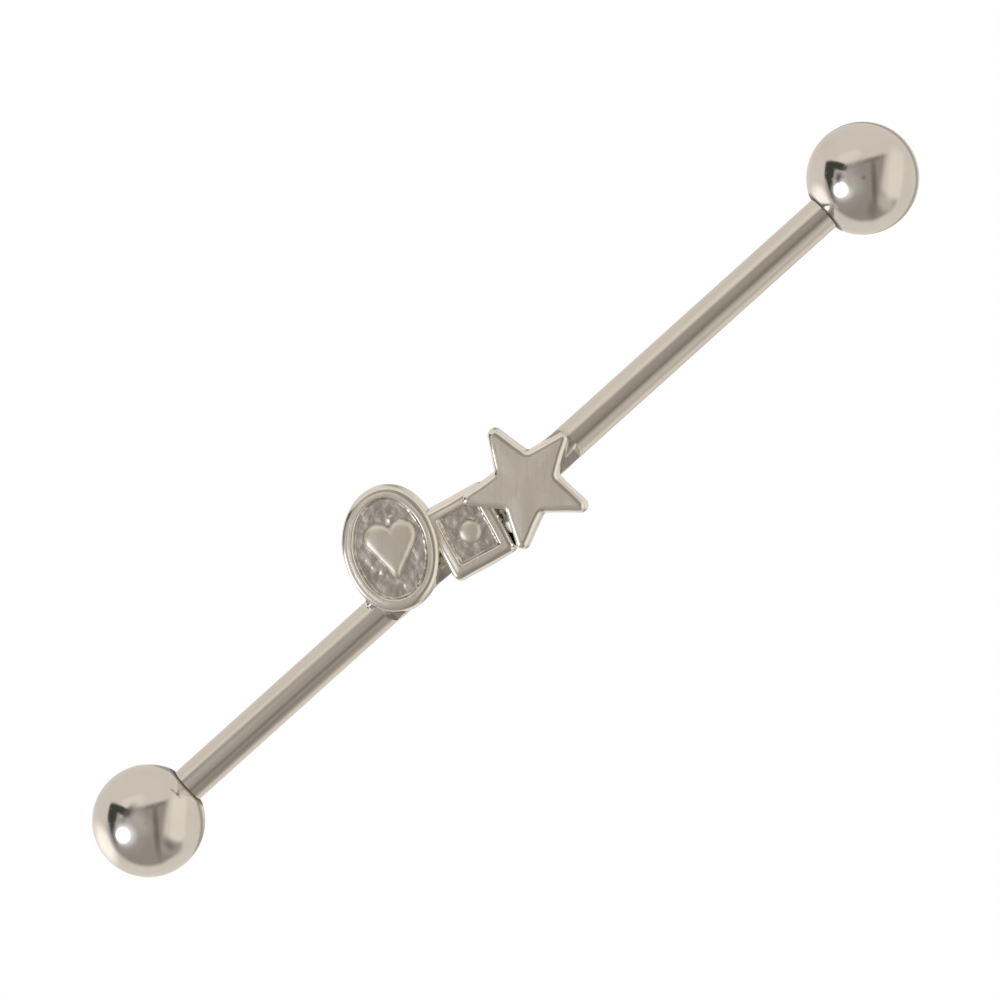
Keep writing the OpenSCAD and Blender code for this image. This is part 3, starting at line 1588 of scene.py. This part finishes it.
@dataclass(frozen=True)
class View:
    """The photograph's view: straight onto the charm's faces, with the bar rising to the right.

    Args:
        scale: Pixels to the millimetre.
        bar_angle: Angle of the bar in the picture.
        middle: Pixel of the bar's middle.
        frame: Pixels along each side of the picture.
        distance: From the camera to the bar.
        film: Width of the camera's sensor.
    """

    scale: float = 22.556
    bar_angle: float = 41.98
    middle: Point = (505.77, 499.47)
    frame: int = 1000
    distance: float = 210.0
    film: float = 36.0

    def axes(self, lie: Lie) -> tuple[Vector, Vector, Vector]:
        """Gives the picture's directions.

        Args:
            lie: How the jewel lies.

        Returns:
            The directions right, up and out of the picture.
        """
        angle = math.radians(self.bar_angle)
        right = lie.u * math.cos(angle) - lie.v * math.sin(angle)
        up = lie.u * math.sin(angle) + lie.v * math.cos(angle)
        return right, up, lie.w

    def build(self, lie: Lie) -> None:
        """Makes the camera.

        Args:
            lie: How the jewel lies.
        """
        right, up, out = self.axes(lie)
        off_right = (self.frame / 2 - self.middle[0]) / self.scale
        off_up = (self.middle[1] - self.frame / 2) / self.scale
        target = lie.at(Vector()) + (right * off_right + up * off_up) * MM
        data = bpy.data.cameras.new("camera")
        data.sensor_width = self.film
        data.lens = self.scale * self.film * self.distance / self.frame
        data.clip_start, data.clip_end = 0.01, 10.0
        camera = put("camera", data)
        turn = Matrix((right, up, out)).transposed().to_4x4()
        camera.matrix_world = Matrix.Translation(target + out * self.distance * MM) @ turn
        bpy.context.scene.camera = camera


@dataclass(frozen=True)
class Card:
    """A light or dark card in the studio, placed where a mirror ball shows it from the front.

    Args:
        colour: Its colour and brightness.
        x: Its middle to the right, in radii of the ball.
        y: Its middle upwards.
        half_w: Half of its width.
        half_h: Half of its height.
        turn: Its turn.
        soft: Width of its soft edge as a share of its size.
        square: 2 for an oval card, more for one with corners.
        hollow: Where a card that is only a ring ends inwards, as a share of its size.
    """

    colour: Colour
    x: float
    y: float
    half_w: float
    half_h: float
    turn: float = 0.0
    soft: float = 0.15
    square: float = 4.0
    hollow: float = 0.0

    def lay(self, graph: Graph, x: Signal, y: Signal, under: Any) -> Signal:
        """Lays the card over what is there.

        Args:
            graph: The world's graph.
            x: Place to the right in the mirror ball.
            y: Place upwards.
            under: The colour so far.

        Returns:
            The colour with the card.
        """
        c, s = math.cos(math.radians(self.turn)), math.sin(math.radians(self.turn))
        across = abs((x - self.x) * (c / self.half_w) + (y - self.y) * (s / self.half_w))
        up = abs((y - self.y) * (c / self.half_h) - (x - self.x) * (s / self.half_h))
        far = (across**self.square + up**self.square) ** (1.0 / self.square)
        share = far.step(1.0 + self.soft, 1.0 - self.soft)
        if self.hollow:
            share = share * far.step(self.hollow - self.soft, self.hollow + self.soft)
        return graph.blend(share, under, self.colour)


@dataclass(frozen=True)
class Flag:
    """A soft-edged sheet near the jewel that shows only in its steel, laid out in the front view.

    Args:
        name: Its name.
        colour: Its colour and brightness.
        corner: One corner.
        side: From that corner to the next.
        rise: From that corner to the one before.
        soft: Width of its soft edges as a share of its size.
    """

    name: str
    colour: Colour
    corner: Vector
    side: Vector
    rise: Vector
    soft: float = 0.5

    def build(self, lie: Lie) -> None:
        """Makes the sheet.

        Args:
            lie: How the jewel lies.
        """
        near = [self.corner, self.corner + self.side]
        corners = near + [corner + self.rise for corner in reversed(near)]
        sheet = staged_sheet(self.name, [lie.at(c) for c in corners], lambda graph: self._shade(graph, lie))
        sheet.visible_camera = sheet.visible_diffuse = sheet.visible_shadow = False

    def _shade(self, graph: Graph, lie: Lie) -> Signal:
        """Gives its shader, which fades out towards the edges.

        Args:
            graph: The material's graph.
            lie: How the jewel lies.

        Returns:
            The shader.
        """
        place = graph.vector("SUBTRACT", graph.place(), tuple(lie.at(self.corner) / MM))
        share: Signal | float = 1.0
        for edge in (self.side, self.rise):
            way = (lie.at(edge) - lie.at(Vector())) / MM
            along = graph.dot(place, tuple(way / way.length_squared))
            share = along.step(0.0, self.soft) * along.step(1.0, 1.0 - self.soft) * share
        return graph.glow(self.colour, share)


@dataclass(frozen=True)
class Studio:
    """The plain studio: a pale floor, soft light from above and cards that the steel mirrors.

    Args:
        surround: Colour of the soft light all round.
        floor_light: Light that comes through the pale floor, as in a light table.
        floor_size: Length of the floor's sides, in metres.
        lamp_power: Power of the soft lamp over the floor, in watts.
        lamp_size: Its width, in metres.
        lamp_height: Its height over the floor, in metres.
    """

    surround: Colour = (0.78, 0.73, 0.67)
    floor_light: Colour = WHITE
    floor_size: float = 4.0
    lamp_power: float = 3.0
    lamp_size: float = 0.9
    lamp_height: float = 0.7

    def cards(self) -> list[Card]:
        """Gives the cards.

        Returns:
            The cards, the lowest first.
        """
        room = (0.36, 0.33, 0.295)
        gloom = (0.06, 0.065, 0.055)
        return [
            Card((1.3, 1.25, 1.15), -0.73, -0.41, 0.12, 0.31, 26.0, 0.5, 2.0),
            Card(room, 0.0, -0.045, 0.69, 0.735, 0.0, 0.06, 2.0),
            Card((0.52, 0.50, 0.49), -0.36, -0.14, 0.24, 0.28, 0.0, 0.9, 2.0),
            Card((0.60, 0.56, 0.51), 0.40, -0.45, 0.16, 0.12, -45.0, 0.6, 2.0),
            Card((0.21, 0.185, 0.155), 0.165, -0.12, 0.045, 0.44, 3.0, 0.8, 2.5),
            Card((0.24, 0.215, 0.185), 0.15, 0.36, 0.20, 0.08, 18.0, 0.6, 2.5),
            Card((0.76, 0.705, 0.64), -0.05, 0.846, 0.75, 0.54, 15.2, 0.08, 8.0),
            Card((0.86, 0.80, 0.73), -0.26, 0.36, 0.22, 0.09, 18.3, 0.35, 2.5),
            Card((0.78, 0.73, 0.66), 0.76, 0.08, 0.43, 0.46, -8.5, 0.15, 6.0),
            Card((0.90, 0.85, 0.76), 0.55, 0.05, 0.13, 0.42, -4.0, 0.25, 5.0),
            Card(gloom, -0.61, 0.14, 0.08, 0.17, -6.0, 0.2, 4.0),
            Card(gloom, -0.595, -0.14, 0.05, 0.26, 15.0, 0.4, 2.5),
            Card(gloom, -0.45, 0.20, 0.15, 0.07, -22.0, 0.3, 2.5),
            Card((0.72, 0.71, 0.71), -0.40, 0.07, 0.08, 0.035, -20.0, 0.5, 2.5),
            Card((0.95, 0.94, 0.97), -0.38, -0.215, 0.17, 0.18, 0.0, 0.5, 2.0),
            Card((3.0, 3.0, 3.1), -0.42, -0.23, 0.116, 0.126, 0.0, 0.25, 2.0),
            Card((0.24, 0.22, 0.20), -0.02, -0.02, 0.035, 0.035, 0.0, 0.7, 2.0),
            Card((0.40, 0.38, 0.34), -0.095, -0.037, 1.06, 1.06, 0.0, 0.016, 2.0, 0.96),
        ]

    def flags(self) -> list[Flag]:
        """Gives the sheets beside the bar's lower half.

        Returns:
            The sheets.
        """
        dark, light, black = (0.25, 0.225, 0.20), (0.54, 0.505, 0.46), (0.14, 0.13, 0.12)
        return [
            Flag("side_flag", dark, Vector((-47.5, -82, -35)), Vector((53, 0, 0)), Vector((0, 0, 134))),
            Flag("top_flag", light, Vector((-98, -72, 110)), Vector((109, 0, 0)), Vector((0, 195, 0))),
            Flag("thin_flag", black, Vector((-91, 27, 60)), Vector((93, 0, 0)), Vector((0, 56, 0))),
        ]

    def build(self, lie: Lie, view: View) -> None:
        """Makes the floor, the lamp, the sheets and the world.

        Args:
            lie: How the jewel lies.
            view: The photograph's view.
        """
        self._floor()
        self._lamp()
        for flag in self.flags():
            flag.build(lie)
        self._world(lie, view)
        bpy.context.scene.view_settings.view_transform = "Standard"

    def _floor(self) -> None:
        """Makes the floor, which the steel doesn't mirror: the cards stand in for it there."""
        half = self.floor_size / 2
        corners = [(x, y, 0.0) for x, y in ((-half, -half), (half, -half), (half, half), (-half, half))]
        floor = staged_sheet("floor", corners, lambda graph: graph.glow(self.floor_light))
        floor.visible_glossy = False

    def _lamp(self) -> None:
        """Makes the soft lamp over the floor."""
        data = bpy.data.lights.new("soft_lamp", "AREA")
        data.shape, data.size, data.energy = "DISK", self.lamp_size, self.lamp_power
        lamp = put("soft_lamp", data)
        lamp.location = (0.0, 0.0, self.lamp_height)
        lamp.visible_glossy = False

    def _world(self, lie: Lie, view: View) -> None:
        """Makes the light all round, with its cards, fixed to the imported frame.

        Args:
            lie: How the jewel lies.
            view: The photograph's view.
        """
        world = bpy.data.worlds.new("studio")
        world.use_nodes = True
        bpy.context.scene.world = world
        graph = Graph(world.node_tree)
        right, up, out = (tuple(d) for d in view.axes(lie))
        look = graph.add("ShaderNodeTexCoord", output="Generated")
        mirror = graph.vector("NORMALIZE", graph.vector("ADD", look, out), (0.0, 0.0, 0.0))
        x, y = graph.dot(mirror, right), graph.dot(mirror, up)
        light: Signal | Colour = self.surround
        for card in self.cards():
            light = card.lay(graph, x, y, light)
        seen = graph.add("ShaderNodeLightPath", output="Is Camera Ray")
        light = graph.blend(seen, light, WHITE)
        background = graph.add("ShaderNodeBackground", None, {"Color": light, "Strength": 1.0})
        graph.add("ShaderNodeOutputWorld", None, {"Surface": background})


def main() -> None:
    """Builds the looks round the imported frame."""
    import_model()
    noise.seed_set(NOISE_SEED)
    bar, charm = Bar(), Charm()
    ball = EndBall(bar)
    lie = Lie.resting(charm.oval, ball.r)
    view = View()
    view.build(lie)
    Studio().build(lie, view)
    bar.build(lie)
    Solder().build(lie)
    charm.build(lie)
    ball.build("oval_side_ball", Host.OVAL_BALL, -1, lie)
    ball.build("star_side_ball", Host.STAR_BALL, 1, lie)


if __name__ == "__main__":
    logging.basicConfig(level=logging.INFO)
    main()
